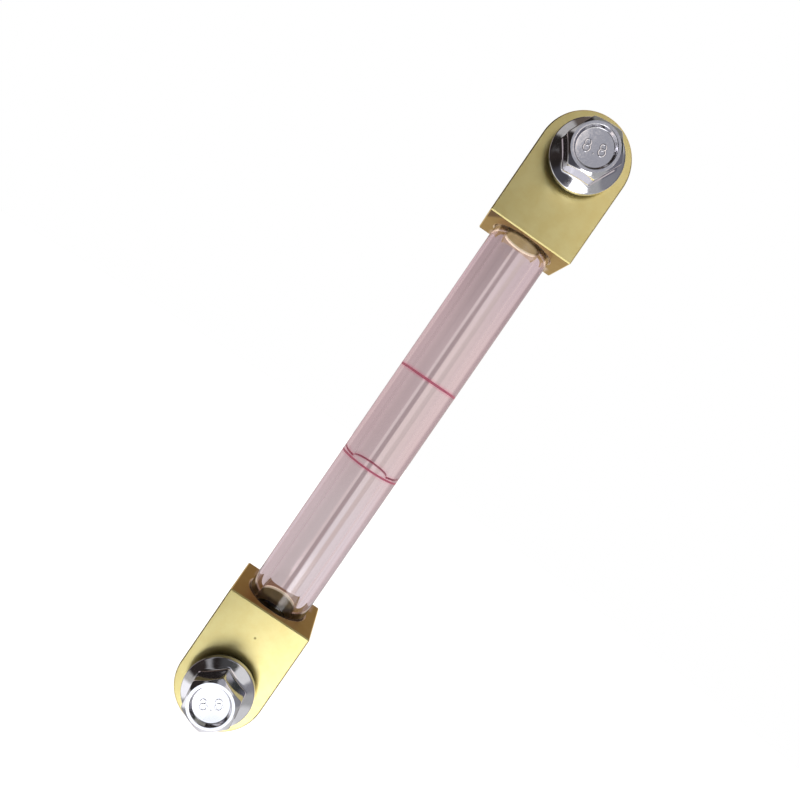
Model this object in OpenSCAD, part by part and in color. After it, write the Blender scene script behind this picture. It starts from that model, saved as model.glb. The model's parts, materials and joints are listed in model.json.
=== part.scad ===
// Hydraulic oil level gauge.
// A clear sight tube stands between two end blocks. Each block is held against the tank
// wall by a hollow bolt, and the oil reaches the tube through that bolt, so the level in
// the tube is the level in the tank.
// Z runs up along the tube, the front faces -Y, and the tank wall is the plane Y = 0.
// The origin lies on that plane, half way between the two bolts. Millimetres.

/* [Gauge] */
// Distance between the axes of the two bolts
bolt_centres = 150; // [90:1:400]
// Height of the high level mark above the middle of the gauge
high_mark_z = 13.25; // [2:0.25:30]
// Height of the low level mark, below the middle of the gauge
low_mark_z = -12.5; // [-30:0.25:-2]

/* [End blocks] */
// Width of a block, and the diameter of its round end
block_w = 22.5; // [20.5:0.25:34]
// Thickness of a block, from the tank wall to its front face
block_t = 20.5; // [19.5:0.25:30]
// Length of a block from the bolt's axis to the end that holds the tube
block_reach = 21.25; // [20:0.25:36]
// Width of the chamfer round the edges of a block
block_edge = 0.3; // [0.1:0.05:0.6]
// Diameter of the hole that the bolt passes through
bolt_hole_d = 9; // [8.7:0.1:9.8]
// Diameter of the oil way drilled from the tube's socket into the bolt hole
oil_way_d = 5; // [2:0.25:8]

/* [Tube socket] */
// Depth of the socket from the block's inner end to the shoulder under the tube
socket_depth = 12; // [8:0.25:14]
// Depth of the wider mouth of the socket
mouth_depth = 4; // [1:0.25:5]
// Gap all round between the tube and the mouth of the socket
mouth_gap = 0.15; // [0.1:0.05:0.6]
// Width of the chamfer at the mouth, which leads the tube and its seal in
mouth_chamfer = 0.3; // [0.2:0.05:0.8]
// Gap all round between the tube and the part of the socket that guides it
guide_gap = 0.1; // [0.05:0.01:0.3]
// Length of the groove that holds the tube's seal
gland_len = 2.4; // [2:0.1:3.5]

/* [Sight tube] */
// Outside diameter of the tube
tube_d = 16; // [12:0.25:16.75]
// Thickness of the tube's wall
tube_wall = 3; // [1.5:0.25:4]
// Chamfer on both ends of the tube, inside and outside
tube_chamfer = 0.4; // [0.1:0.05:0.7]
// Room above the tube, so that it can't be pinched between the blocks
tube_end_gap = 0.5; // [0.2:0.05:0.9]
// Width of a level mark
mark_w = 0.45; // [0.2:0.05:1.5]
// Depth of the engraved line that holds the mark's paint
mark_depth = 0.15; // [0.05:0.05:0.5]

/* [Bolts] */
// Outside diameter of the bolt's thread
bolt_d = 8; // [7:0.1:8.4]
// Length of a bolt under its head
bolt_len = 40; // [32:1:70]
// Width of the hexagon across its flats
hex_af = 12; // [11:0.25:14]
// Diameter of the flat top inside the hexagon's chamfer
hex_top_d = 11.1; // [10.2:0.1:12]
// Slope of that chamfer, in degrees
hex_chamfer_slope = 30; // [15:1:40]
// Height of the head, with its flange
head_h = 7.5; // [5.5:0.25:10]
// Diameter of the flange under the hexagon
flange_d = 17.3; // [16.5:0.1:20]
// Thickness of the flange at its rim
flange_rim = 1.3; // [0.8:0.1:2]
// Slope of the flange's upper side, in degrees
flange_slope = 25; // [10:1:30]
// Diameter of the sunk disc in the top of the head, at its upper edge
head_disc_d = 9.6; // [6:0.1:10]
// Depth of the sunk disc
head_disc_depth = 0.8; // [0.2:0.1:1.5]
// Slope of the wall round the sunk disc, in degrees
head_disc_slope = 60; // [40:5:80]
// Diameter of the narrow waist that carries the oil round the bolt
waist_d = 6.4; // [5:0.1:7]
// Length of the waist
waist_len = 9; // [6:0.5:12]
// Diameter of the oil bore along the bolt
bolt_bore_d = 3.5; // [2:0.25:4]
// Diameter of the hole drilled across the bolt into that bore
cross_hole_d = 3; // [1.5:0.25:4]
// Width of the relief where the thread runs out
relief_w = 1.6; // [1:0.1:3]
// How far behind the tank wall's face the thread starts
thread_start = 0.5; // [0:0.1:2]
// Angle of the drill's point at the end of the oil bore, in degrees
drill_point = 118; // [90:1:140]
// Chamfer at the tip of the thread
tip_chamfer = 0.8; // [0.3:0.1:1.2]
// How far the upper bolt is turned, in degrees
upper_bolt_turn = -5; // [-30:1:30]
// How far the lower bolt is turned, in degrees
lower_bolt_turn = 21; // [-30:1:30]

/* [Seals] */
// Thickness of the tube's seal ring before it is squeezed
tube_seal_cord = 1.5; // [1.3:0.05:1.6]
// Room between the tube and the floor of the groove that holds the seal
tube_seal_room = 1.2; // [1.05:0.05:1.25]
// Thickness of the seal ring under the bolt's head before it is squeezed
head_seal_cord = 2.65; // [2.4:0.05:2.7]
// Height of the seal ring under the bolt's head when it is squeezed
head_seal_h = 1.7; // [1.6:0.05:2.2]
// Thickness of the seal ring at the tank wall before it is squeezed
wall_seal_cord = 2; // [1.8:0.05:2.2]
// Depth of the recess that the seal ring at the tank wall fills
wall_seal_h = 1.5; // [1.3:0.05:1.7]
// Gap between a seal ring and the bolt hole's edge, or the wall of its recess
seal_gap = 0.1; // [0.05:0.01:0.3]

/* [Hidden] */
$fn = 96;

// How far a cut runs past the face it opens
cut = 1;

// Places shared by the pieces
bolt_z = bolt_centres / 2;
tube_y = -block_t / 2;
block_end_z = bolt_z - block_reach;
shoulder_z = block_end_z + socket_depth;

// The socket, its groove and the tube in it
tube_r = tube_d / 2;
bore_r = tube_r - tube_wall;
tube_len = 2 * shoulder_z - tube_end_gap;
gland_r = tube_r + tube_seal_room;
gland_z = block_end_z + mouth_depth + gland_len / 2;

// The bolt, measured from the underside of its head
head_y = -block_t - head_seal_h;
bolt_r = bolt_d / 2;
waist_r = waist_d / 2;
cross_hole_z = head_seal_h + block_t / 2;
thread_z = head_seal_h + block_t + thread_start;
flange_r = flange_d / 2;
flange_h = flange_rim + (flange_r - hex_af / 2) * tan(flange_slope);
hex_corner_r = hex_af / 2 / cos(30);
hex_top_r = hex_top_d / 2;
head_disc_r = head_disc_d / 2;
bore_tip_z = cross_hole_z - cross_hole_d / 2;
drill_point_h = bolt_bore_d / 2 / tan(drill_point / 2);

// The seals of the bolt hole, placed from its edge
head_seal_w = squeezed_width(head_seal_cord, head_seal_h);
wall_seal_w = squeezed_width(wall_seal_cord, wall_seal_h);
seal_inner_r = bolt_hole_d / 2 + seal_gap;
wall_recess_r = seal_inner_r + wall_seal_w + seal_gap;

// Colours
anodised_gold = "#C3B070";
clear_tube = [0.85, 0.76, 0.79, 0.45];
mark_red = "#B03A5A";
black_rubber = "#1E1D1F";
bright_zinc = "#C9CBD0";

// Width that a rubber ring takes up when it is squeezed to a height, at the same volume
function squeezed_width(cord, height) =
    height + PI / 4 * (cord * cord - height * height) / height;

// An upright turned piece, from points of (radius, height)
module turned(points) {
    rotate_extrude() polygon(points);
}

// A rectangle with its four corners cut off
module chamfered_rectangle(w, h, e) {
    polygon([
        [-w / 2 + e, -h / 2], [w / 2 - e, -h / 2], [w / 2, -h / 2 + e], [w / 2, h / 2 - e],
        [w / 2 - e, h / 2], [-w / 2 + e, h / 2], [-w / 2, h / 2 - e], [-w / 2, -h / 2 + e]
    ]);
}

// Section of a squeezed rubber ring: two flats with a half round at each end
module squeezed_section(width, height) {
    square([width - height, height], center = true);
    for (side = [-1, 1])
        translate([side * (width - height) / 2, 0]) circle(d = height);
}

// A squeezed rubber ring round the bolt hole, lying flat
module bolt_hole_seal(width, height) {
    rotate_extrude() translate([seal_inner_r + width / 2, height / 2])
        squeezed_section(width, height);
}

// Turn an upright piece so that its top points at the tank wall
module towards_wall() {
    rotate([-90, 0, 0]) children();
}

// Show a piece of the upper end, or mirror it to the lower end
module at_end(side) {
    mirror([0, 0, side < 0 ? 1 : 0]) children();
}

// The outer form of the upper block: a round end and a bar towards the tube
module block_form() {
    translate([0, 0, bolt_z]) {
        translate([0, -block_t, 0]) towards_wall() turned([
            [0, 0], [block_w / 2 - block_edge, 0], [block_w / 2, block_edge],
            [block_w / 2, block_t - block_edge], [block_w / 2 - block_edge, block_t], [0, block_t]
        ]);
        intersection() {
            translate([0, tube_y, -block_reach]) linear_extrude(block_reach)
                chamfered_rectangle(block_w, block_t, block_edge);
            translate([0, tube_y, (block_edge - block_reach) / 2]) rotate([90, 0, 0])
                linear_extrude(block_t, center = true)
                    chamfered_rectangle(block_w, block_reach + block_edge, block_edge);
            translate([0, tube_y, (block_edge - block_reach) / 2]) rotate([90, 0, 90])
                linear_extrude(block_w, center = true)
                    chamfered_rectangle(block_t, block_reach + block_edge, block_edge);
        }
    }
}

// The stepped socket of the upper block, with the oil way behind it
module tube_socket() {
    mouth_r = tube_r + mouth_gap;
    translate([0, tube_y, block_end_z]) turned([
        [0, -cut], [mouth_r + mouth_chamfer + cut, -cut], [mouth_r, mouth_chamfer],
        [mouth_r, mouth_depth], [gland_r, mouth_depth],
        [gland_r, mouth_depth + gland_len], [tube_r + guide_gap, mouth_depth + gland_len],
        [tube_r + guide_gap, socket_depth], [oil_way_d / 2, socket_depth],
        [oil_way_d / 2, block_reach], [0, block_reach]
    ]);
}

// The bolt hole of the upper block, with the seal's recess at the tank wall
module bolt_hole() {
    translate([0, -block_t, bolt_z]) towards_wall() {
        translate([0, 0, -cut]) cylinder(d = bolt_hole_d, h = block_t + 2 * cut);
        translate([0, 0, block_t - wall_seal_h]) cylinder(r = wall_recess_r, h = wall_seal_h + cut);
    }
}

module end_block(side) {
    color(anodised_gold) at_end(side) difference() {
        block_form();
        tube_socket();
        bolt_hole();
    }
}

// Ring of an engraved line on the tube, reaching out to a given radius
module mark_ring(z, outer_r) {
    translate([0, tube_y, z]) rotate_extrude()
        translate([tube_r - mark_depth, -mark_w / 2])
            square([outer_r - tube_r + mark_depth, mark_w]);
}

// The tube stands on the shoulder of the lower block
module sight_tube() {
    color(clear_tube) difference() {
        translate([0, tube_y, -shoulder_z]) turned([
            [bore_r + tube_chamfer, 0], [tube_r - tube_chamfer, 0], [tube_r, tube_chamfer],
            [tube_r, tube_len - tube_chamfer], [tube_r - tube_chamfer, tube_len],
            [bore_r + tube_chamfer, tube_len], [bore_r, tube_len - tube_chamfer],
            [bore_r, tube_chamfer]
        ]);
        for (z = [high_mark_z, low_mark_z]) mark_ring(z, tube_r + cut);
    }
}

module level_mark(z) {
    color(mark_red) mark_ring(z, tube_r);
}

// Rubber ring squeezed between the tube and the floor of its groove
module tube_seal(side) {
    long = squeezed_width(tube_seal_cord, tube_seal_room);
    color(black_rubber) at_end(side)
        translate([0, tube_y, gland_z]) rotate_extrude()
            translate([tube_r + tube_seal_room / 2, 0]) rotate(90)
                squeezed_section(long, tube_seal_room);
}

// Rubber ring in the recess at the tank wall, flush with the wall
module wall_seal(side) {
    color(black_rubber) at_end(side)
        translate([0, -wall_seal_h, bolt_z]) towards_wall()
            bolt_hole_seal(wall_seal_w, wall_seal_h);
}

// Rubber ring between the front face of the block and the flange of the bolt
module head_seal(side) {
    color(black_rubber) at_end(side)
        translate([0, head_y, bolt_z]) towards_wall()
            bolt_hole_seal(head_seal_w, head_seal_h);
}

// Hexagon head with its flange, built downwards from the underside of the flange
module bolt_head() {
    chamfer_drop = (hex_corner_r + cut - hex_top_r) * tan(hex_chamfer_slope);
    mirror([0, 0, 1]) difference() {
        union() {
            turned([
                [0, 0], [flange_r, 0], [flange_r, flange_rim],
                [hex_af / 2, flange_h], [0, flange_h]
            ]);
            intersection() {
                cylinder(r = hex_corner_r, h = head_h, $fn = 6);
                turned([
                    [0, 0], [hex_corner_r + cut, 0],
                    [hex_corner_r + cut, head_h - chamfer_drop],
                    [hex_top_r, head_h], [0, head_h]
                ]);
            }
        }
        translate([0, 0, head_h]) turned([
            [0, -head_disc_depth],
            [head_disc_r - head_disc_depth / tan(head_disc_slope), -head_disc_depth],
            [head_disc_r, 0], [head_disc_r, cut], [0, cut]
        ]);
    }
}

// Shank with the oil waist, the thread's relief and the thread, under the head
module bolt_shank() {
    waist_z = cross_hole_z - waist_len / 2;
    turned([
        [0, -flange_rim], [bolt_r, -flange_rim], [bolt_r, waist_z],
        [waist_r, waist_z + bolt_r - waist_r],
        [waist_r, waist_z + waist_len - bolt_r + waist_r],
        [bolt_r, waist_z + waist_len], [bolt_r, thread_z - relief_w],
        [waist_r, thread_z - relief_w], [waist_r, thread_z],
        [bolt_r, thread_z], [bolt_r, bolt_len - tip_chamfer],
        [bolt_r - tip_chamfer, bolt_len], [0, bolt_len]
    ]);
}

// Oil bore from the tip to the hole across the bolt, which opens in the waist
module bolt_oil_holes() {
    translate([0, 0, bore_tip_z]) cylinder(d = bolt_bore_d, h = bolt_len - bore_tip_z + cut);
    translate([0, 0, bore_tip_z - drill_point_h])
        cylinder(d1 = 0, d2 = bolt_bore_d, h = drill_point_h);
    translate([0, 0, cross_hole_z]) rotate([90, 0, 0])
        cylinder(d = cross_hole_d, h = bolt_d + 2 * cut, center = true);
}

module banjo_bolt(z, turn) {
    color(bright_zinc) translate([0, head_y, z]) towards_wall() rotate([0, 0, turn])
        difference() {
            union() {
                bolt_head();
                bolt_shank();
            }
            bolt_oil_holes();
        }
}

end_block(1);  // upper_end_block
end_block(-1);  // lower_end_block
sight_tube();
level_mark(high_mark_z);  // high_level_mark
level_mark(low_mark_z);  // low_level_mark
tube_seal(1);  // upper_tube_seal
tube_seal(-1);  // lower_tube_seal
wall_seal(1);  // upper_wall_seal
wall_seal(-1);  // lower_wall_seal
head_seal(1);  // upper_head_seal
head_seal(-1);  // lower_head_seal
banjo_bolt(bolt_z, upper_bolt_turn);  // upper_banjo_bolt
banjo_bolt(-bolt_z, lower_bolt_turn);  // lower_banjo_bolt
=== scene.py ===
"""Looks of the hydraulic oil level gauge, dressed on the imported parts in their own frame."""

import json
import math

import bmesh
import bpy
import numpy as np
from mathutils import Matrix, Vector


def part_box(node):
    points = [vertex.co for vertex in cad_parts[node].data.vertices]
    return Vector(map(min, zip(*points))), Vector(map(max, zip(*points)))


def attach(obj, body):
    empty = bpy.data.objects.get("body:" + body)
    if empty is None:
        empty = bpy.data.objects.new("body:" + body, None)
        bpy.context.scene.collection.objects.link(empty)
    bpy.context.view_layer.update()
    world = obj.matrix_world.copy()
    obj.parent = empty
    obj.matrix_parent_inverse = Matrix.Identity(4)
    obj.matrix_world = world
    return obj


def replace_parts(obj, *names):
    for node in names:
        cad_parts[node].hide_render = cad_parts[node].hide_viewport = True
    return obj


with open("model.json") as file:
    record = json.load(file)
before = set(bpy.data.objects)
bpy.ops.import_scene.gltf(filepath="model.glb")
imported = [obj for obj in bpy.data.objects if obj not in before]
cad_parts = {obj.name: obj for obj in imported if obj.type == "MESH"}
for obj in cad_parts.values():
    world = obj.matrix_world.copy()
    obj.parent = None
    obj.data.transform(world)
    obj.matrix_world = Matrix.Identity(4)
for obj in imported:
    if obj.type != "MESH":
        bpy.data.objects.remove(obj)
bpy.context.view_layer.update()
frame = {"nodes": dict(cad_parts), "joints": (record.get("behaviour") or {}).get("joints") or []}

# Camera
# The gauge is seen from straight in front and quite near, with the picture turned so that
# the gauge runs from the lower left to the upper right. Place and aim are in metres.
camera_place = Vector((-0.01035, -0.17391, 0.01168))
camera_aim = Vector((-0.00349, -0.0205, 0.00563))
camera_roll = math.radians(-34.5)
camera_lens = 29.63
sensor_width = 36.0
nearest_seen = 0.01

scene = bpy.context.scene
camera_data = bpy.data.cameras.new("camera")
camera_data.lens = camera_lens
camera_data.sensor_width = sensor_width
camera_data.clip_start = nearest_seen
camera = bpy.data.objects.new("camera", camera_data)
scene.collection.objects.link(camera)
look = (camera_aim - camera_place).normalized()
level_right = look.cross(Vector((0, 0, 1))).normalized()
camera_up = Matrix.Rotation(camera_roll, 3, look) @ level_right.cross(look)
camera_right = look.cross(camera_up)
camera.matrix_world = Matrix.Translation(camera_place) @ Matrix(
    (camera_right, camera_up, -look)).transposed().to_4x4()
scene.camera = camera

# Studio
# A white floor a long way under the gauge runs into a white room. What the metal and the
# tube mirror is the room round them, drawn as soft-edged panels: a dark side on the left, a
# tall bright window right of the middle, white paper low down, and a warm grey behind.
white = "#FFFFFF"
room_colour = "#8F8F94"
floor_z = -0.5
floor_reach = 4.0
floor_sides = 96
floor_paint = "#F4F3F0"
floor_roughness = 0.9


def linear(hex_colour):
    """The linear colour that a shader takes, from an sRGB hex value."""
    shares = [int(hex_colour[i:i + 2], 16) / 255 for i in (1, 3, 5)]
    return [s / 12.92 if s <= 0.04045 else ((s + 0.055) / 1.055) ** 2.4 for s in shares] + [1]


def add(tree, kind, inputs=None, **settings):
    """Adds a node with its settings, and links or values for its inputs. A node that is
    given as an input stands for its output in use."""
    node = tree.nodes.new(kind)
    for name, value in settings.items():
        setattr(node, name, value)
    for name, value in (inputs or {}).items():
        if isinstance(value, bpy.types.Node):
            value = next(socket for socket in value.outputs if socket.enabled)
        if isinstance(value, bpy.types.NodeSocket):
            tree.links.new(value, node.inputs[name])
        else:
            node.inputs[name].default_value = value
    return node


def new_material(name):
    """An empty procedural material with its tree and Object coordinates."""
    material = bpy.data.materials.new(name)
    material.use_nodes = True
    tree = material.node_tree
    tree.nodes.clear()
    return material, tree, add(tree, "ShaderNodeTexCoord").outputs["Object"]


scene.view_settings.view_transform = "Standard"
studio = bpy.data.worlds.new("studio")
studio.use_nodes = True
scene.world = studio
tree = studio.node_tree
tree.nodes.clear()
heading = add(tree, "ShaderNodeSeparateXYZ",
              {0: add(tree, "ShaderNodeTexCoord").outputs["Generated"]}).outputs
upward_angle = add(tree, "ShaderNodeMath", {0: heading["Z"]}, operation="ARCSINE")
elevation = add(tree, "ShaderNodeMath", {0: upward_angle}, operation="DEGREES")
to_front = add(tree, "ShaderNodeMath", {0: heading["Y"], 1: -1.0}, operation="MULTIPLY")
front_angle = add(tree, "ShaderNodeMath", {0: heading["X"], 1: to_front}, operation="ARCTAN2")
in_front = add(tree, "ShaderNodeMath", {0: front_angle}, operation="DEGREES")
back_angle = add(tree, "ShaderNodeMath", {0: heading["X"], 1: heading["Y"]}, operation="ARCTAN2")
behind = add(tree, "ShaderNodeMath", {0: back_angle}, operation="DEGREES")

# Each panel has its angles across and upward and the softness of its edges, all in degrees,
# then its colour and its strength. A later panel lies over an earlier one.
light = linear(room_colour)
for azimuth, across, upward, soft, colour, strength in (
        (in_front, (-185, 185), (62, 95), 14, "#8C8C82", 1.0),     # ceiling
        (in_front, (34, 60), (-25, 60), 10, "#8E8E92", 1.0),       # wall on the right
        (in_front, (60, 125), (-20, 45), 12, "#72727A", 1.0),      # wall farther right
        (in_front, (33, 86), (-40, -3), 8, "#B2B2B0", 1.0),        # pale bench on the right
        (in_front, (44, 64), (50, 74), 6, "#C4C4C4", 1.0),         # shelf high on the right
        (in_front, (64, 118), (42, 62), 8, "#3C403C", 1.0),        # doorway high on the right
        (in_front, (45, 78), (-55, -22), 8, "#E2E2E0", 1.0),       # low cupboard
        (in_front, (84, 140), (-45, -18), 8, "#4A4642", 1.0),      # dark card on the right
        (in_front, (-185, 185), (-95, -51), 12, white, 1.05),      # white paper underneath
        (in_front, (-95, -42), (-95, -58), 8, "#9C9C9A", 1.0),     # its grey left edge
        (in_front, (-128, 4), (-30, 66), 5, "#2A2624", 1.0),       # dark side on the left
        (in_front, (-54, -36), (-24, 2), 6, "#322C2A", 1.0),       # fold in the dark side
        (in_front, (-76, -46), (-40, -25), 6, "#C2C0BA", 1.0),     # pale bench on the left
        (in_front, (-40, -3), (-39, -20), 7, "#4C4C52", 1.0),      # dark card, just below
        (in_front, (4, 14), (-95, -38), 3, white, 1.3),            # white paper below
        (in_front, (-72, -44), (-62, -38), 6, white, 1.2),         # white paper on the left
        (in_front, (-62, -47), (22, 50), 6, "#C2C0BC", 1.0),       # cabinet on the left
        (in_front, (-58, -32), (48, 74), 8, "#665C54", 1.0),       # shade over the cabinet
        (in_front, (-41, -31), (1, 15), 5, "#A0A0A0", 1.0),        # small light on the left
        (in_front, (-26, -2), (16, 36), 6, "#4A4A4A", 1.0),        # wall, in the shade
        (in_front, (-3, 9), (15, 31), 5, "#50504E", 1.0),          # its part in the middle
        (in_front, (8, 34), (-58, -17), 5, white, 3.2),            # window, lower panes
        (in_front, (8, 34), (27, 44), 5, "#A4A6A8", 1.0),          # blind above the window
        (in_front, (8, 34), (-17, 28), 5, "#E9E9E7", 1.0),         # window, upper panes
        (in_front, (2, 18), (7, 12), 3, white, 1.3),               # lamp
        (behind, (-68, 4), (-95, 95), 2, "#C7B9B9", 1.0),          # backdrop, left side
        (behind, (4, 70), (-95, 95), 2, "#E8DCD8", 1.0),           # backdrop, right side
        (behind, (-90, -66), (-22, 16), 3, "#C7B9B9", 1.0),        # its turned left edge
        (behind, (68, 90), (-22, 16), 3, "#E8DCD8", 1.0),          # its turned right edge
        (behind, (-68, 4), (-95, -10), 10, "#D2CBCA", 1.0),        # lower left, nearer the light
        (behind, (4, 70), (-95, -10), 10, "#EAE7E8", 1.0),         # lower right
        (behind, (-68, 4), (8, 95), 10, "#B2A5A5", 1.0),           # upper left, in shade
        (behind, (4, 70), (8, 95), 10, "#DACFD0", 1.0),            # upper right
        (behind, (-0.6, 1.8), (-95, 95), 1, "#DED4D2", 1.0),       # pale edge beside the fold
        (behind, (1.8, 5.2), (-95, 95), 1, "#B8ABAB", 1.0),        # fold in the backdrop
        (behind, (10, 16), (-95, 95), 3, "#D8CCC8", 1.0),          # shallow crease
        (behind, (-70, 70), (17, 48), 7, "#A8A29C", 1.0),          # wall behind
        (behind, (-70, 10), (17, 48), 5, "#8E7462", 1.0)):         # brown table behind
    share = 1.0
    for angle, edges in ((azimuth, across), (elevation, upward)):
        risen, fallen = [add(tree, "ShaderNodeMapRange", {
            "Value": angle, "From Min": edge - soft / 2, "From Max": edge + soft / 2},
            interpolation_type="SMOOTHSTEP") for edge in edges]
        inside = add(tree, "ShaderNodeMath", {0: risen, 1: fallen}, operation="SUBTRACT")
        share = add(tree, "ShaderNodeMath", {0: inside, 1: share}, operation="MULTIPLY")
    bright = [strength * c for c in linear(colour)[:3]] + [1]
    light = add(tree, "ShaderNodeMix", {0: share, 6: light, 7: bright}, data_type="RGBA")
seen = add(tree, "ShaderNodeLightPath").outputs["Is Camera Ray"]
mirrored = add(tree, "ShaderNodeBackground", {"Color": light, "Strength": 1.0})
backdrop = add(tree, "ShaderNodeBackground", {"Color": linear(white), "Strength": 1.0})
mixed = add(tree, "ShaderNodeMixShader", {0: seen, 1: mirrored, 2: backdrop})
add(tree, "ShaderNodeOutputWorld", {"Surface": mixed})

# Three near things are mirrored by one end of the gauge only, so they are flat lights at
# their real places: lit white paper that lies below the camera, a grey wall over it, and a
# warm window high on the right. Each has its place, tilt, width and height, colour and
# strength.
for name, place, tilt, (wide, tall), colour, strength in (
        ("paper_in_front", (0.028, -0.2245, -0.2), 180, (0.068, 0.12), "#F4FAFF", 1.3),
        ("wall_over_camera", (-0.0475, -0.6, 0.33), 90, (0.245, 0.19), "#9C9DA4", 1.0),
        ("window_high_right", (0.195, -0.6, 0.385), 90, (0.25, 0.24), "#FFECD8", 0.82)):
    sheet_light = bpy.data.lights.new(name, "AREA")
    sheet_light.shape = "RECTANGLE"
    sheet_light.size, sheet_light.size_y = wide, tall
    sheet_light.color = linear(colour)[:3]
    sheet_light.energy = strength * math.pi * wide * tall
    sheet = bpy.data.objects.new(name, sheet_light)
    sheet.location = place
    sheet.rotation_euler = (math.radians(tilt), 0, 0)
    sheet.visible_camera = False
    scene.collection.objects.link(sheet)

floor_mesh = bpy.data.meshes.new("floor")
shape = bmesh.new()
bmesh.ops.create_circle(shape, cap_ends=True, segments=floor_sides, radius=floor_reach)
bmesh.ops.translate(shape, verts=shape.verts, vec=(0, 0, floor_z))
shape.to_mesh(floor_mesh)
shape.free()
floor = bpy.data.objects.new("floor", floor_mesh)
scene.collection.objects.link(floor)
floor.visible_glossy = floor.visible_transmission = floor.visible_diffuse = False
white_paint, tree, _ = new_material("floor_white_paint")
paint = add(tree, "ShaderNodeBsdfPrincipled", {
    "Base Color": linear(floor_paint), "Roughness": floor_roughness,
    "Emission Color": linear(white), "Emission Strength": 1.0})
add(tree, "ShaderNodeOutputMaterial", {"Surface": paint})
floor_mesh.materials.append(white_paint)

# End blocks
# Each block is sawn from aluminium bar, milled to a full-round end, drilled, tumbled to a
# satin and anodised pale gold. The bolt and the tube's socket hold it to the rest.
MM = 0.001
anodised_gold_pale = "#FAECA9"
anodised_gold_deep = "#F5E49D"
edge_gold = "#FBEFD4"
anodising_patch = 3.5 * MM
patch_detail, patch_roughness = 3.0, 0.6
patch_low, patch_high = 0.35, 0.65
tumbling_grain = 0.25 * MM
grain_detail = 2.0
grain_bump, grain_height = 0.15, 0.01 * MM
satin_low, satin_high = 0.3, 0.39

# The sawn end, and the painted shade in one corner of the upper one, across and into the
# block, fading at these shares of its reach
# The sawn end's coppery tint is a painted reflection of the shaded table behind the gauge
sawn_reflection_tint = "#C3B4A4"
sawn_skin = 0.02 * MM
painted_corner_shade = "#6E5438"
corner_shade_across, corner_shade_deep = 3.4 * MM, 7.5 * MM
corner_shade_full, corner_shade_gone = 0.85, 1.25

# The strip of the sawn end behind the tube, glossier, with a painted reflection of the
# backdrop in pale pink
backdrop_reflection_pale = "#F0E4E0"
back_strip_middle = 0.6 * MM
back_strip_full, back_strip_gone = 7.8 * MM, 9.4 * MM
back_strip_from, back_strip_to = -6.5 * MM, -4.5 * MM

# The drilled socket and its countersunk mouth, round the tube's axis
drilled_gold = "#E8D498"
countersunk_cream = "#FFF6E0"
socket_reach = 8.9 * MM
mouth_reach = 8.48 * MM
mouth_deep = 0.65 * MM
roughness_change = 0.15
metal_lost = 0.5

# The light that the tube's wall carries into a socket, and the shade of the socket's lip
carried_olive, lower_socket_share = "#A0936A", 0.22
carried_cream, lower_mouth_share = "#D8D0B2", 0.6
back_from, back_to = -7.5 * MM, -4.9 * MM
lip_shade_slope = 0.42
lit_depth, shaded_depth = -0.75 * MM, 0.15 * MM
no_light = "#000000"

# The nick in the lower block's front
nick_brown = "#A4955C"
nick_place = (0.2 * MM, -20.5 * MM, -60.6 * MM)
nick_full, nick_gone = 0.14 * MM, 0.42 * MM


def radius_from(tree, place, axis):
    """How far a place is from an upright axis."""
    off_axis = add(tree, "ShaderNodeVectorMath", {0: place, 1: axis}, operation="SUBTRACT")
    level = add(tree, "ShaderNodeVectorMath", {0: off_axis, 1: (1, 1, 0)}, operation="MULTIPLY")
    return add(tree, "ShaderNodeVectorMath", {0: level}, operation="LENGTH")


def dress(piece, material):
    """Gives a piece one material in every slot."""
    slots = piece.data.materials
    if not slots:
        slots.append(material)
    for index in range(len(slots)):
        slots[index] = material


# Anodised aluminium, tumbled: a satin metal whose gold comes from the dyed oxide, a little
# uneven from patch to patch. The real grain is finer than 0.1 mm, and it is drawn coarser so
# that it shows. The sawn ends are painted darker and more coppery, a painted reflection of the
# shaded table behind. The upper one has a painted shade in one corner, and both are glossier
# behind the tube, with a pale pink painted reflection of the backdrop there. The drilled
# sockets are matt, with a pale countersink. The light that the tube's wall carries into a
# socket is a faint glow on its back, up to the shade of the lip, and brighter in the upper
# one, which is over white paper. The lower block's front has a nick in it.
block_low, block_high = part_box("upper_end_block")
block_middle = (block_low.y + block_high.y) / 2
anodised, tree, place = new_material("anodised_aluminium_gold")
spot = add(tree, "ShaderNodeSeparateXYZ", {0: place}).outputs
patches = add(tree, "ShaderNodeTexNoise", {
    "Vector": place, "Scale": 1 / anodising_patch, "Detail": patch_detail,
    "Roughness": patch_roughness})
grain = add(tree, "ShaderNodeTexNoise", {
    "Vector": place, "Scale": 1 / tumbling_grain, "Detail": grain_detail})

# Where the sawn end, the mouth and the socket are
upper = add(tree, "ShaderNodeMath", {0: spot["Z"], 1: 0.0}, operation="GREATER_THAN")
height = add(tree, "ShaderNodeMath", {0: spot["Z"]}, operation="ABSOLUTE")
depth = add(tree, "ShaderNodeMath", {0: height, 1: block_low.z}, operation="SUBTRACT")
sawn = add(tree, "ShaderNodeMath", {0: depth, 1: sawn_skin}, operation="LESS_THAN")
radius = radius_from(tree, place, (0, block_middle, 0))
zones = []
for reach, side in ((mouth_reach, "LESS_THAN"), (socket_reach, "GREATER_THAN")):
    near_axis = add(tree, "ShaderNodeMath", {0: radius, 1: reach}, operation="LESS_THAN")
    deep = add(tree, "ShaderNodeMath", {0: depth, 1: mouth_deep}, operation=side)
    zones.append(add(tree, "ShaderNodeMath", {0: near_axis, 1: deep}, operation="MULTIPLY"))
mouth, socket = zones
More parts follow.
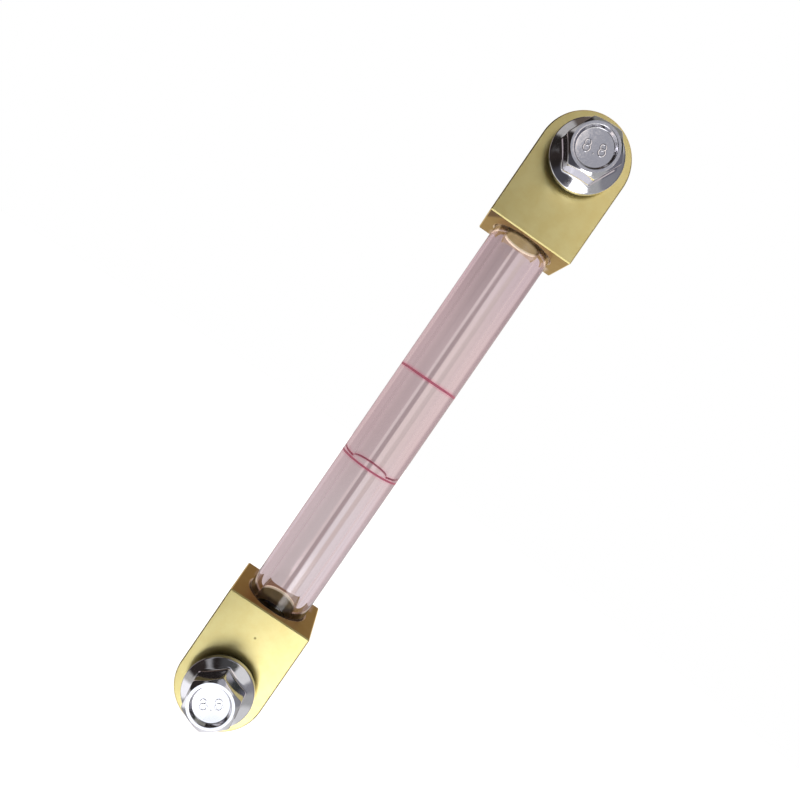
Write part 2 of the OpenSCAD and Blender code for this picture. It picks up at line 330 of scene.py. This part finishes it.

# How far the painted corner shade, the painted reflection behind the tube and the nick reach
from_corner = add(tree, "ShaderNodeVectorMath", {
    0: place, 1: (block_low.x, block_low.y, 0)}, operation="SUBTRACT")
corner_shade_reach = add(tree, "ShaderNodeVectorMath", {
    0: from_corner, 1: (1 / corner_shade_across, 1 / corner_shade_deep, 0)}, operation="DOT_PRODUCT")
off_middle = add(tree, "ShaderNodeMath", {0: spot["X"], 1: back_strip_middle}, operation="SUBTRACT")
off_middle = add(tree, "ShaderNodeMath", {0: off_middle}, operation="ABSOLUTE")
from_nick = add(tree, "ShaderNodeVectorMath", {0: place, 1: nick_place}, operation="DISTANCE")
in_corner_shade, in_back_strip, behind_tube, in_nick, at_back = [
    add(tree, "ShaderNodeMapRange", {"Value": value, "From Min": gone, "From Max": full},
        interpolation_type="SMOOTHSTEP")
    for value, gone, full in (
        (corner_shade_reach, corner_shade_gone, corner_shade_full), (off_middle, back_strip_gone, back_strip_full),
        (spot["Y"], back_strip_from, back_strip_to), (from_nick, nick_gone, nick_full),
        (spot["Y"], back_from, back_to))]
upper_sawn = add(tree, "ShaderNodeMath", {0: sawn, 1: upper}, operation="MULTIPLY")
# Painted shade in the front left corner of the upper block's sawn end
corner_shaded = add(tree, "ShaderNodeMath", {0: upper_sawn, 1: in_corner_shade}, operation="MULTIPLY")
# Painted reflection of the backdrop on the sawn end behind the tube, which is glossier there
back_strip = add(tree, "ShaderNodeMath", {0: behind_tube, 1: in_back_strip}, operation="MULTIPLY")
back_strip = add(tree, "ShaderNodeMath", {0: sawn, 1: back_strip}, operation="MULTIPLY")

# The colour, from the anodised gold up
patch = add(tree, "ShaderNodeMapRange", {
    "Value": patches, "From Min": patch_low, "From Max": patch_high})
gold = add(tree, "ShaderNodeMix", {
    0: patch, 6: linear(anodised_gold_deep), 7: linear(anodised_gold_pale)}, data_type="RGBA")
# The sawn ends' coppery tint, a painted reflection of the shaded table behind
reflected_copper = add(tree, "ShaderNodeMix", {0: 1.0, 6: gold, 7: linear(sawn_reflection_tint)},
             data_type="RGBA", blend_type="MULTIPLY")
for share, colour in (
        (sawn, reflected_copper), (corner_shaded, linear(painted_corner_shade)), (back_strip, linear(backdrop_reflection_pale)),
        (in_nick, linear(nick_brown)), (socket, linear(drilled_gold)),
        (mouth, linear(countersunk_cream))):
    gold = add(tree, "ShaderNodeMix", {0: share, 6: gold, 7: colour}, data_type="RGBA")

# The carried light
from_axis = add(tree, "ShaderNodeMath", {0: spot["Y"], 1: block_middle}, operation="SUBTRACT")
from_lip = add(tree, "ShaderNodeMath", {0: from_axis, 1: -lip_shade_slope, 2: depth},
               operation="MULTIPLY_ADD")
out_of_shade = add(tree, "ShaderNodeMapRange", {
    "Value": from_lip, "From Min": shaded_depth, "From Max": lit_depth},
    interpolation_type="SMOOTHSTEP")
lit_socket = add(tree, "ShaderNodeMath", {0: socket, 1: out_of_shade}, operation="MULTIPLY")
glow = linear(no_light)
for zone, lower_share, colour in (
        (lit_socket, lower_socket_share, carried_olive), (mouth, lower_mouth_share, carried_cream)):
    share = add(tree, "ShaderNodeMath", {0: upper, 1: lower_share}, operation="MAXIMUM")
    share = add(tree, "ShaderNodeMath", {0: share, 1: at_back}, operation="MULTIPLY")
    share = add(tree, "ShaderNodeMath", {0: zone, 1: share}, operation="MULTIPLY")
    glow = add(tree, "ShaderNodeMix", {0: share, 6: glow, 7: linear(colour)}, data_type="RGBA")

satin = add(tree, "ShaderNodeMapRange", {"Value": grain, "To Min": satin_low, "To Max": satin_high})
matt = add(tree, "ShaderNodeMath", {0: socket, 1: back_strip}, operation="SUBTRACT")
rough = add(tree, "ShaderNodeMath", {0: matt, 1: roughness_change, 2: satin},
            operation="MULTIPLY_ADD")
metal = add(tree, "ShaderNodeMath", {0: socket, 1: -metal_lost, 2: 1.0}, operation="MULTIPLY_ADD")
bump = add(tree, "ShaderNodeBump", {
    "Height": grain, "Strength": grain_bump, "Distance": grain_height})
surface = add(tree, "ShaderNodeBsdfPrincipled", {
    "Base Color": gold, "Roughness": rough, "Metallic": metal, "Normal": bump,
    "Specular Tint": linear(edge_gold), "Emission Color": glow, "Emission Strength": 1.0})
add(tree, "ShaderNodeOutputMaterial", {"Surface": surface})
for name in ("upper_end_block", "lower_end_block"):
    dress(frame["nodes"][name], anodised)

# Rubber seals
# Moulded nitrile rings: one round each end of the tube, one under each bolt's head and one
# in the back of each block. Squeezed flat where they bear, matt black with a faint bloom.
rubber_black, rubber_bloom = "#151416", "#242326"
bloom_patch = 0.8 * MM
bloom_detail = 4.0
rubber_roughness = 0.55

rubber, tree, place = new_material("nitrile_rubber_black")
bloom = add(tree, "ShaderNodeTexNoise", {
    "Vector": place, "Scale": 1 / bloom_patch, "Detail": bloom_detail})
black = add(tree, "ShaderNodeMix", {
    0: bloom, 6: linear(rubber_black), 7: linear(rubber_bloom)}, data_type="RGBA")
surface = add(tree, "ShaderNodeBsdfPrincipled", {
    "Base Color": black, "Roughness": rubber_roughness})
add(tree, "ShaderNodeOutputMaterial", {"Surface": surface})
for name in frame["nodes"]:
    if name.endswith("_seal"):
        dress(frame["nodes"][name], rubber)

# Sight tube
# An extruded clear tube with a thick wall, cut to length, with its ends chamfered and two
# lines engraved round it. It stands in the sockets of both blocks. The tint is faintly pink.
tube_wall = 3.0 * MM
tube_chamfer = 0.4 * MM
engraving_depth = 0.15 * MM
tube_sides = 256
sharp_angle = math.radians(30)
tube_pink, pink_per_metre = "#DA9CB4", 50.0
acrylic_ior = 1.49
acrylic_roughness = 0.02
draw_line_width = 0.9 * MM
draw_line_stretch = 0.01
draw_line_detail = 2.0
draw_line_bump, draw_line_height = 0.08, 0.02 * MM
halo_pink = "#FFCEDC"
halo_reach = 1.1 * MM


def smoothed(mesh):
    """The mesh, smooth except across its sharp edges."""
    mesh.shade_smooth()
    mesh.set_sharp_from_angle(angle=sharp_angle)
    return mesh


def finished(mesh):
    """The mesh with its faces turned outwards, smooth except across its sharp edges."""
    shape = bmesh.new()
    shape.from_mesh(mesh)
    bmesh.ops.recalc_face_normals(shape, faces=shape.faces)
    shape.to_mesh(mesh)
    shape.free()
    return smoothed(mesh)


def ring_of(name, outline, sides):
    """A closed turned ring about its own upright axis, from (radius, height) points."""
    angles = np.linspace(0, 2 * math.pi, sides, endpoint=False)
    points = [(r * math.cos(a), r * math.sin(a), z) for r, z in outline for a in angles]
    count = len(outline)
    faces = [(row * sides + a, row * sides + (a + 1) % sides,
              (row + 1) % count * sides + (a + 1) % sides, (row + 1) % count * sides + a)
             for row in range(count) for a in range(sides)]
    mesh = bpy.data.meshes.new(name)
    mesh.from_pydata(points, [], faces)
    return finished(mesh)


def show(name, mesh, body):
    """Puts a finished mesh in the scene as a piece that rides on a body."""
    piece = bpy.data.objects.new(name, mesh)
    scene.collection.objects.link(piece)
    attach(piece, body)
    return piece


tube_low, tube_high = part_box("sight_tube")
tube_radius = (tube_high.x - tube_low.x) / 2
tube_axis = Vector(((tube_low.x + tube_high.x) / 2, (tube_low.y + tube_high.y) / 2, 0))
bore_radius = tube_radius - tube_wall
mark_boxes = {name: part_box(name) for name in ("high_level_mark", "low_level_mark")}
outline = [(tube_radius - tube_chamfer, tube_low.z), (tube_radius, tube_low.z + tube_chamfer)]
for low, high in sorted(mark_boxes.values(), key=lambda corners: corners[0].z):
    outline += [(tube_radius, low.z), (tube_radius - engraving_depth, low.z),
                (tube_radius - engraving_depth, high.z), (tube_radius, high.z)]
outline += [
    (tube_radius, tube_high.z - tube_chamfer), (tube_radius - tube_chamfer, tube_high.z),
    (bore_radius + tube_chamfer, tube_high.z), (bore_radius, tube_high.z - tube_chamfer),
    (bore_radius, tube_low.z + tube_chamfer), (bore_radius + tube_chamfer, tube_low.z)]
tube_mesh = ring_of("clear_sight_tube", outline, tube_sides)
tube_mesh.transform(Matrix.Translation(tube_axis))

# Extruded acrylic, polished by the die: clear, glossy, with faint draw lines along the tube.
# Its pink tint grows with the depth of plastic that is looked through. Beside each line the
# outer skin is tinted pink, a painted halo for the light that the red paint scatters into the tube.
acrylic, tree, place = new_material("extruded_acrylic_pink_tint")
stretched = add(tree, "ShaderNodeMapping", {
    "Vector": place, "Scale": (1.0, 1.0, draw_line_stretch)})
draw_lines = add(tree, "ShaderNodeTexNoise", {
    "Vector": stretched, "Scale": 1 / draw_line_width, "Detail": draw_line_detail})
bump = add(tree, "ShaderNodeBump", {
    "Height": draw_lines, "Strength": draw_line_bump, "Distance": draw_line_height})
height = add(tree, "ShaderNodeSeparateXYZ", {0: place}).outputs["Z"]
on_outside = add(tree, "ShaderNodeMath", {
    0: radius_from(tree, place, tube_axis), 1: tube_radius - 2 * engraving_depth},
    operation="GREATER_THAN")
# Painted pink halo beside each red line, for the light that the paint scatters into the tube
halo_tint = linear(white)
for low, high in mark_boxes.values():
    off_line = add(tree, "ShaderNodeMath", {0: height, 1: (low.z + high.z) / 2},
                   operation="SUBTRACT")
    off_line = add(tree, "ShaderNodeMath", {0: off_line}, operation="ABSOLUTE")
    near_line = add(tree, "ShaderNodeMapRange", {
        "Value": off_line, "From Min": halo_reach, "From Max": 0.0},
        interpolation_type="SMOOTHSTEP")
    share = add(tree, "ShaderNodeMath", {0: near_line, 1: on_outside}, operation="MULTIPLY")
    halo_tint = add(tree, "ShaderNodeMix", {0: share, 6: halo_tint, 7: linear(halo_pink)},
                data_type="RGBA")
surface = add(tree, "ShaderNodeBsdfPrincipled", {
    "Base Color": halo_tint, "Normal": bump, "Roughness": acrylic_roughness, "IOR": acrylic_ior,
    "Transmission Weight": 1.0})
tint = add(tree, "ShaderNodeVolumeAbsorption", {
    "Color": linear(tube_pink), "Density": pink_per_metre})
add(tree, "ShaderNodeOutputMaterial", {"Surface": surface, "Volume": tint})
tube_mesh.materials.append(acrylic)
tube = show("clear_sight_tube", tube_mesh, "gauge")
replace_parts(tube, "sight_tube")

# Level marks
# Red paint wiped into the engraved lines. It stands a hair proud of the tube, and it wets
# the walls of its groove.
paint_overlap = 0.02 * MM
paint_proud = 0.004 * MM
ring_sides = 192
enamel_thin, enamel_thick = "#D85C80", "#EC88A6"
enamel_patch = 1.5 * MM
enamel_detail = 2.0
enamel_roughness = 0.3
painted_glow_red, painted_glow_strength = "#F2A8BA", 0.3
let_through = 0.45


def new_tree(name, **inputs):
    """A Geometry Nodes tree with named inputs of each kind, and one mesh as its output."""
    node_tree = bpy.data.node_groups.new(name, "GeometryNodeTree")
    for kind, titles in inputs.items():
        for title in titles:
            node_tree.interface.new_socket(
                title, in_out="INPUT", socket_type="NodeSocket" + kind)
    node_tree.interface.new_socket("Geometry", in_out="OUTPUT", socket_type="NodeSocketGeometry")
    return node_tree, add(node_tree, "NodeGroupInput").outputs


def close_tree(tree, geometry, material):
    """Makes what a tree gives real and gives it its material."""
    realized = add(tree, "GeometryNodeRealizeInstances", {0: geometry})
    covered = add(tree, "GeometryNodeSetMaterial", {"Geometry": realized, "Material": material})
    add(tree, "NodeGroupOutput", {0: covered})


def grown(name, blank, node_tree, values):
    """The plain mesh that a Geometry Nodes tree makes of a blank, with its named inputs set."""
    maker = bpy.data.objects.new(name + "_maker", blank)
    scene.collection.objects.link(maker)
    modifier = maker.modifiers.new("nodes", "NODES")
    modifier.node_group = node_tree
    for item in node_tree.interface.items_tree:
        if item.in_out == "INPUT" and item.name in values:
            modifier[item.identifier] = values[item.name]
    maker.update_tag()
    evaluated = maker.evaluated_get(bpy.context.evaluated_depsgraph_get())
    mesh = bpy.data.meshes.new_from_object(evaluated)
    mesh.name = name
    maker.modifiers.clear()
    bpy.data.objects.remove(maker)
    return finished(mesh)


ring_tree, given = new_tree(
    "paint_ring", Float=("Inner radius", "Outer radius", "Line width", "Height"),
    Vector=("Axis",), Material=("Paint",))
both_radii = add(ring_tree, "ShaderNodeMath", {
    0: given["Inner radius"], 1: given["Outer radius"]}, operation="ADD")
middle = add(ring_tree, "ShaderNodeMath", {0: both_radii, 1: 0.5}, operation="MULTIPLY")
thickness = add(ring_tree, "ShaderNodeMath", {
    0: given["Outer radius"], 1: given["Inner radius"]}, operation="SUBTRACT")
circle = add(ring_tree, "GeometryNodeCurvePrimitiveCircle", {
    "Resolution": ring_sides, "Radius": middle})
section = add(ring_tree, "GeometryNodeCurvePrimitiveQuadrilateral", {
    "Width": thickness, "Height": given["Line width"]})
swept = add(ring_tree, "GeometryNodeCurveToMesh", {"Curve": circle, "Profile Curve": section})
lift = add(ring_tree, "ShaderNodeCombineXYZ", {"Z": given["Height"]})
centre = add(ring_tree, "ShaderNodeVectorMath", {0: given["Axis"], 1: lift}, operation="ADD")
placed = add(ring_tree, "GeometryNodeTransform", {"Geometry": swept, "Translation": centre})
close_tree(ring_tree, placed, given["Paint"])

# Red enamel: a gloss paint, thicker in some places than in others, with a faint painted glow
# that brightens it. It lets some of the light from behind the tube through.
enamel, tree, place = new_material("red_enamel_paint")
thick = add(tree, "ShaderNodeTexNoise", {
    "Vector": place, "Scale": 1 / enamel_patch, "Detail": enamel_detail})
red = add(tree, "ShaderNodeMix", {
    0: thick, 6: linear(enamel_thin), 7: linear(enamel_thick)}, data_type="RGBA")
gloss_paint = add(tree, "ShaderNodeBsdfPrincipled", {
    "Base Color": red, "Roughness": enamel_roughness,
    "Emission Color": linear(painted_glow_red), "Emission Strength": painted_glow_strength})
lit_through = add(tree, "ShaderNodeBsdfTranslucent", {"Color": red})
surface = add(tree, "ShaderNodeMixShader", {0: let_through, 1: gloss_paint, 2: lit_through})
add(tree, "ShaderNodeOutputMaterial", {"Surface": surface})
for name, (low, high) in mark_boxes.items():
    line = grown(name + "_paint", bpy.data.meshes.new(name), ring_tree, {
        "Inner radius": tube_radius - engraving_depth - paint_overlap,
        "Outer radius": tube_radius + paint_proud,
        "Line width": high.z - low.z + 2 * paint_overlap,
        "Height": (low.z + high.z) / 2,
        "Axis": tube_axis,
        "Paint": enamel,
    })
    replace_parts(show(name + "_paint", line, "gauge"), name)

# Banjo bolts
# Each bolt is cold headed from steel, rolled with an M8 thread, drilled for the oil and
# plated with bright zinc. Sizes are in millimetres from the underside of the flange, which
# bears on its seal; the head is below zero and the shank above.
hexagon_flats = 12.0
hexagon_round = 6.85
corner_blend = 0.2
head_height = 7.5
top_radius = 5.55
top_slope = math.radians(30)
top_blend = 0.12
disc_radius = 4.8
disc_depth = 0.8
disc_slope = math.radians(60)
disc_edge = 0.12
flange_radius = 8.65
flange_rim = 1.3
flange_slope = math.radians(25)
flange_round = 0.25
root_fillet = 0.55
shank_radius = 4.0
shank_round = 0.2
waist_radius = 3.2
waist_start, waist_end = 7.45, 16.45
relief_start, thread_start = 21.1, 22.7
tip_chamfer = 0.8
tip_round = 0.1
shank_length = 40.0
oil_bore_radius = 1.75
oil_bore_end = 10.45
drill_point = math.radians(59)
cross_hole_radius = 1.5
cross_hole_place = 11.95
cross_drill_sides = 64
thread_pitch = 1.25
thread_depth = 0.767
thread_crest, thread_root = 0.125, 0.8
core_share = 0.7
bolt_turns = {"upper": -5, "lower": 21}

# Rows of points on the bolt: close together over the top chamfer and the fillet
steps_per_flat = 32
top_rows_from, top_rows_to, top_step = head_height - 0.03, head_height - 1, 0.05
flat_rows = 6
fillet_rows_from, fillet_rows_to, fillet_step = 3.7, flange_rim - 0.2, 0.06
rim_rows = [0.8, 0.5]
row_gap = 0.1
rows_per_thread = 14


def blend_out(first, second, width):
    """The larger of two radii, with a fillet where they meet."""
    gap = np.maximum(width - np.abs(first - second), 0)
    return np.maximum(first, second) + gap * gap / (4 * width)


def blend_in(first, second, width):
    """The smaller of two radii, rounded over where they meet."""
    return -blend_out(-first, -second, width)


def rounded(points, radius, steps):
    """The outline with each inner corner rounded by an arc of about that radius."""
    smooth = [points[0]]
    for before, corner, after in zip(points, points[1:], points[2:]):
        corner = Vector(corner)
        back, on = Vector(before) - corner, Vector(after) - corner
        reach = min(radius, back.length / 2, on.length / 2)
        start, end = corner + back.normalized() * reach, corner + on.normalized() * reach
        for step in range(steps + 1):
            t = step / steps
            smooth.append(tuple(start * (1 - t) ** 2 + corner * 2 * t * (1 - t) + end * t * t))
    return smooth + [points[-1]]


def bolt_blank():
    """The bolt before its thread is rolled, as rows of points round its upright axis, from
    the disc in its head over the flange and along the shank into the oil bore."""
    across = np.radians(np.linspace(-30, 30, steps_per_flat, endpoint=False))
    turn = (np.radians(60 * np.arange(6) + 30)[:, None] + across).ravel()
    hexagon = blend_in(hexagon_flats / 2 / np.cos(np.tile(across, 6)), hexagon_round, corner_blend)

    floor_height = head_height - disc_depth
    floor_radius = disc_radius - disc_depth / math.tan(disc_slope)
    rows = rounded([(0, floor_height), (floor_radius, floor_height), (disc_radius, head_height),
                    (top_radius, head_height)], disc_edge, steps=5)[1:]
    for height in np.concatenate([
            np.arange(top_rows_from, top_rows_to, -top_step),
            np.linspace(top_rows_to - row_gap, fillet_rows_from + row_gap, flat_rows),
            np.arange(fillet_rows_from, fillet_rows_to, -fillet_step), rim_rows]):
        flange = blend_in(flange_radius, flange_radius
                          - (height - flange_rim) / math.tan(flange_slope), flange_round)
        sides = blend_in(hexagon, top_radius + (head_height - height) / math.tan(top_slope),
                         top_blend)
        rows.append((blend_out(flange, sides, root_fillet), height))

    thread_end = shank_length - tip_chamfer
    shank = rounded([
        (flange_radius, -rim_rows[-1]), (flange_radius, 0), (shank_radius, 0),
        (shank_radius, waist_start), (waist_radius, waist_start + shank_radius - waist_radius),
        (waist_radius, waist_end - shank_radius + waist_radius), (shank_radius, waist_end),
        (shank_radius, relief_start), (waist_radius, relief_start), (waist_radius, thread_start),
        (shank_radius, thread_start + row_gap)], shank_round, steps=3)[1:]
    shank += [(shank_radius, depth) for depth in np.arange(
        thread_start + 2 * row_gap, thread_end, thread_pitch / rows_per_thread)]
    shank += rounded([
        (shank_radius, thread_end), (shank_radius - tip_chamfer, shank_length),
        (oil_bore_radius, shank_length), (oil_bore_radius, oil_bore_end)], tip_round, steps=3)
    rows += [(radius, -depth) for radius, depth in shank]

    sides = len(turn)
    points = [(radius * math.cos(angle), radius * math.sin(angle), -height)
              for radii, height in rows
              for radius, angle in zip(np.broadcast_to(radii, turn.shape), turn)]
    faces = [(row * sides + a, row * sides + (a + 1) % sides,
              (row + 1) * sides + (a + 1) % sides, (row + 1) * sides + a)
             for row in range(len(rows) - 1) for a in range(sides)]
    top_centre, bore_apex = len(points), len(points) + 1
    points.append((0, 0, -floor_height))
    points.append((0, 0, oil_bore_end - oil_bore_radius / math.tan(drill_point)))
    last = (len(rows) - 1) * sides
    faces += [(top_centre, (a + 1) % sides, a) for a in range(sides)]
    faces += [(bore_apex, last + a, last + (a + 1) % sides) for a in range(sides)]
    mesh = bpy.data.meshes.new("bolt_blank")
    mesh.from_pydata(points, [], faces)
    return mesh


# The thread is pressed into the blank: each point outside the oil bore and past the start
# moves in towards the axis, by how far it is from the crest of the helix
thread_tree, given = new_tree(
    "rolled_thread", Geometry=("Geometry",), Float=("Pitch", "Depth", "Radius", "Start"),
    Material=("Plating",))
tree = thread_tree
spot = add(tree, "ShaderNodeSeparateXYZ", {0: add(tree, "GeometryNodeInputPosition")}).outputs
angle = add(tree, "ShaderNodeMath", {0: spot["Y"], 1: spot["X"]}, operation="ARCTAN2")
turns = add(tree, "ShaderNodeMath", {0: angle, 1: 2 * math.pi}, operation="DIVIDE")
pitches = add(tree, "ShaderNodeMath", {0: spot["Z"], 1: given["Pitch"]}, operation="DIVIDE")
phase = add(tree, "ShaderNodeMath", {0: pitches, 1: turns}, operation="SUBTRACT")
phase = add(tree, "ShaderNodeMath", {0: phase}, operation="FRACT")
from_crest = add(tree, "ShaderNodeMath", {0: phase, 1: 2.0, 2: -1.0}, operation="MULTIPLY_ADD")
from_crest = add(tree, "ShaderNodeMath", {0: from_crest}, operation="ABSOLUTE")
cut = add(tree, "ShaderNodeMapRange", {
    "Value": from_crest, "From Min": thread_crest, "From Max": thread_root},
    interpolation_type="SMOOTHSTEP")
pressed = add(tree, "ShaderNodeMath", {0: cut, 1: given["Depth"]}, operation="MULTIPLY")
rolled = add(tree, "ShaderNodeMath", {0: given["Radius"], 1: pressed}, operation="SUBTRACT")
level = add(tree, "ShaderNodeCombineXYZ", {"X": spot["X"], "Y": spot["Y"]})
radius = add(tree, "ShaderNodeVectorMath", {0: level}, operation="LENGTH")
kept = add(tree, "ShaderNodeMath", {0: radius, 1: rolled}, operation="MINIMUM")
change = add(tree, "ShaderNodeMath", {0: kept, 1: radius}, operation="DIVIDE")
change = add(tree, "ShaderNodeMath", {0: change, 1: 1.0}, operation="SUBTRACT")
offset = add(tree, "ShaderNodeVectorMath", {0: level, "Scale": change}, operation="SCALE")
core = add(tree, "ShaderNodeMath", {0: given["Radius"], 1: core_share}, operation="MULTIPLY")
outside = add(tree, "ShaderNodeMath", {0: radius, 1: core}, operation="GREATER_THAN")
past_start = add(tree, "ShaderNodeMath", {0: spot["Z"], 1: given["Start"]},
                 operation="GREATER_THAN")
threaded = add(tree, "ShaderNodeMath", {0: outside, 1: past_start}, operation="MULTIPLY")
moved = add(tree, "GeometryNodeSetPosition", {
    "Geometry": given["Geometry"], "Selection": threaded, "Offset": offset})
close_tree(tree, moved, given["Plating"])

# Bright zinc plate over cold-formed steel: a mirror with a cool cast, slightly wavy from the
# forming dies, with fine scuffs that soften it here and there.
zinc_grey, zinc_pale = "#DCDBE2", "#E9E8EE"
die_wave = 2.2 * MM
wave_detail = 1.0
wave_bump, wave_height = 0.25, 0.05 * MM
scuff_size = 0.5 * MM
scuff_detail = 4.0
scuff_low, scuff_high = 0.35, 0.75
mirror_roughness, scuffed_roughness = 0.05, 0.16

zinc, tree, place = new_material("bright_zinc_plated_steel")
waves = add(tree, "ShaderNodeTexNoise", {
    "Vector": place, "Scale": 1 / die_wave, "Detail": wave_detail})
scuffs = add(tree, "ShaderNodeTexNoise", {
    "Vector": place, "Scale": 1 / scuff_size, "Detail": scuff_detail})
bump = add(tree, "ShaderNodeBump", {
    "Height": waves, "Strength": wave_bump, "Distance": wave_height})
rough = add(tree, "ShaderNodeMapRange", {
    "Value": scuffs, "From Min": scuff_low, "From Max": scuff_high,
    "To Min": mirror_roughness, "To Max": scuffed_roughness})
cast = add(tree, "ShaderNodeMix", {
    0: scuffs, 6: linear(zinc_grey), 7: linear(zinc_pale)}, data_type="RGBA")
surface = add(tree, "ShaderNodeBsdfPrincipled", {
    "Base Color": cast, "Roughness": rough, "Normal": bump, "Metallic": 1.0})
add(tree, "ShaderNodeOutputMaterial", {"Surface": surface})

cross_drill_mesh = bpy.data.meshes.new("cross_drill")
shape = bmesh.new()
bmesh.ops.create_cone(
    shape, cap_ends=True, segments=cross_drill_sides, radius1=cross_hole_radius,
    radius2=cross_hole_radius, depth=3 * shank_radius,
    matrix=Matrix.Translation((0, 0, cross_hole_place))
    @ Matrix.Rotation(math.radians(90), 4, "X"))
shape.to_mesh(cross_drill_mesh)
shape.free()
cross_drill = bpy.data.objects.new("cross_drill", cross_drill_mesh)
scene.collection.objects.link(cross_drill)
cross_drill_mesh.materials.append(zinc)

threaded_bolt = grown("threaded_bolt", bolt_blank(), thread_tree, {
    "Pitch": thread_pitch, "Depth": thread_depth, "Radius": shank_radius,
    "Start": thread_start, "Plating": zinc})
drilled = bpy.data.objects.new("drilled_bolt", threaded_bolt)
scene.collection.objects.link(drilled)
drilling = drilled.modifiers.new("cross_hole", "BOOLEAN")
drilling.object = cross_drill
drilling.operation = "DIFFERENCE"
drilling.solver = "EXACT"
bolt_mesh = smoothed(bpy.data.meshes.new_from_object(
    drilled.evaluated_get(bpy.context.evaluated_depsgraph_get())))
drilled.modifiers.clear()
bpy.data.objects.remove(drilled)
bpy.data.objects.remove(cross_drill)

# Each bolt stands on its joint's axis, with its head at the front of its CAD node
bolt_places = {}
for end, turn in bolt_turns.items():
    joint = next(j for j in frame["joints"] if j["name"] == end + "_bolt_turn")
    low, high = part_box(end + "_banjo_bolt")
    bearing = Vector((joint["pos_m"][0], low.y + head_height * MM, joint["pos_m"][2]))
    bolt_places[end] = (Matrix.Translation(bearing) @ Matrix.Rotation(math.radians(-90), 4, "X")
                        @ Matrix.Scale(MM, 4))
    mesh = bolt_mesh.copy()
    mesh.transform(bolt_places[end] @ Matrix.Rotation(math.radians(turn), 4, "Z"))
    bolt = show(end + "_hollow_bolt", mesh, end + "_bolt")
    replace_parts(bolt, end + "_banjo_bolt")

# Strength marks
# The property class 8.8 that steel bolts carry, pressed up out of the sunk disc by the
# heading die: two eights of two loops each, and a point between them.
numeral_height = 3.0
numeral_pitch = 3.5
upper_loop = 0.66
lower_loop = 0.78
loop_sides = 40
stroke = 0.2
stroke_sides = 12
stroke_flatness = 0.26
point_sides, point_rings = 16, 8
numeral_turns = {"upper": -15, "lower": -33}

numeral_tree, given = new_tree(
    "pressed_numerals", Material=("Plating",),
    Float=("Upper loop", "Lower loop", "Numeral height", "Numeral pitch", "Stroke"))
tree = numeral_tree
half_height = add(tree, "ShaderNodeMath", {0: given["Numeral height"], 1: 0.5},
                  operation="MULTIPLY")
wire = add(tree, "GeometryNodeCurvePrimitiveCircle", {
    "Resolution": stroke_sides, "Radius": given["Stroke"]})
eight = add(tree, "GeometryNodeJoinGeometry")
for loop, side in (("Upper loop", 1.0), ("Lower loop", -1.0)):
    circle = add(tree, "GeometryNodeCurvePrimitiveCircle", {
        "Resolution": loop_sides, "Radius": given[loop]})
    pressed_loop = add(tree, "GeometryNodeCurveToMesh", {"Curve": circle, "Profile Curve": wire})
    shift = add(tree, "ShaderNodeMath", {0: half_height, 1: given[loop]}, operation="SUBTRACT")
    shift = add(tree, "ShaderNodeMath", {0: shift, 1: given["Stroke"]}, operation="SUBTRACT")
    shift = add(tree, "ShaderNodeMath", {0: shift, 1: side}, operation="MULTIPLY")
    placed = add(tree, "GeometryNodeTransform", {
        "Geometry": pressed_loop, "Translation": add(tree, "ShaderNodeCombineXYZ", {"Y": shift})})
    tree.links.new(placed.outputs[0], eight.inputs[0])
half_pitch = add(tree, "ShaderNodeMath", {0: given["Numeral pitch"], 1: -0.5},
                 operation="MULTIPLY")
pair = add(tree, "GeometryNodeMeshLine", {
    "Count": 2, "Start Location": add(tree, "ShaderNodeCombineXYZ", {"X": half_pitch}),
    "Offset": add(tree, "ShaderNodeCombineXYZ", {"X": given["Numeral pitch"]})}, mode="OFFSET")
eights = add(tree, "GeometryNodeInstanceOnPoints", {"Points": pair, "Instance": eight})
point = add(tree, "GeometryNodeMeshUVSphere", {
    "Segments": point_sides, "Rings": point_rings, "Radius": given["Stroke"]})
point_drop = add(tree, "ShaderNodeMath", {0: given["Stroke"], 1: half_height},
                 operation="SUBTRACT")
point_placed = add(tree, "GeometryNodeTransform", {
    "Geometry": point, "Translation": add(tree, "ShaderNodeCombineXYZ", {"Y": point_drop})})
joined = add(tree, "GeometryNodeJoinGeometry")
for part in (eights, point_placed):
    tree.links.new(part.outputs[0], joined.inputs[0])
close_tree(tree, joined, given["Plating"])

disc_face = Matrix.Translation((0, 0, disc_depth - head_height))
for end, turn in numeral_turns.items():
    mesh = grown(end + "_strength_mark", bpy.data.meshes.new(end), numeral_tree, {
        "Upper loop": upper_loop, "Lower loop": lower_loop,
        "Numeral height": numeral_height, "Numeral pitch": numeral_pitch,
        "Stroke": stroke, "Plating": zinc})
    mesh.transform(bolt_places[end] @ disc_face @ Matrix.Rotation(math.radians(turn), 4, "Z")
                   @ Matrix.Diagonal((1, -1, -stroke_flatness, 1)))
    show(end + "_strength_mark", mesh, end + "_bolt")
